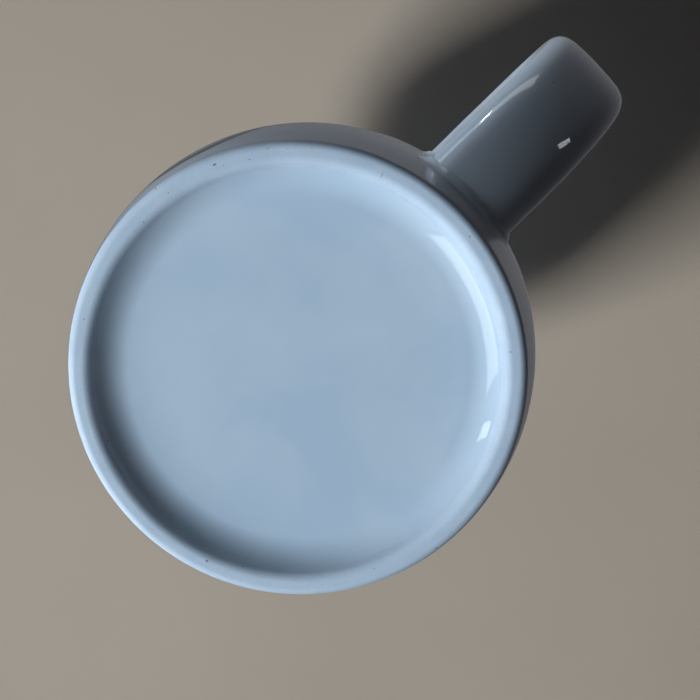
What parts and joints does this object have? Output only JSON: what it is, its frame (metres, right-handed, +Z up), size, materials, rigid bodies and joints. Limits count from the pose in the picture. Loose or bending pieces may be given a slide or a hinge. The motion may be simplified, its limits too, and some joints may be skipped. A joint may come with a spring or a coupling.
{
  "type": "stoneware mug",
  "caption": "Straight-walled glazed stoneware mug with a wide strap handle, a recessed base and a narrow unglazed foot ring.",
  "frame": {"origin": "on the surface the foot stands on, under the middle of the outline of cup and handle together", "axes": "+Z up along the cup's axis, +X from the cup's axis towards the handle, +Y across the strap"},
  "size_m": [0.1164, 0.083, 0.095],
  "materials": {
    "clay_body": "matt fired stoneware",
    "bare_foot": "matt, wiped clean of glaze",
    "inner_glaze": "glossy white",
    "outer_glaze": "glossy white",
    "base_glaze": "glossy, slightly blue where it pools",
    "handle_glaze": "glossy white",
    "joint_glaze": "glossy white, thicker in the corner"
  },
  "bodies": {
    "root": {"cup_body": "clay_body", "foot_ring": "bare_foot", "inner_glaze": "inner_glaze", "outer_glaze": "outer_glaze", "base_glaze": "base_glaze", "handle": "handle_glaze", "lower_handle_joint": "joint_glaze", "upper_handle_joint": "joint_glaze"}
  },
  "joints": []
}
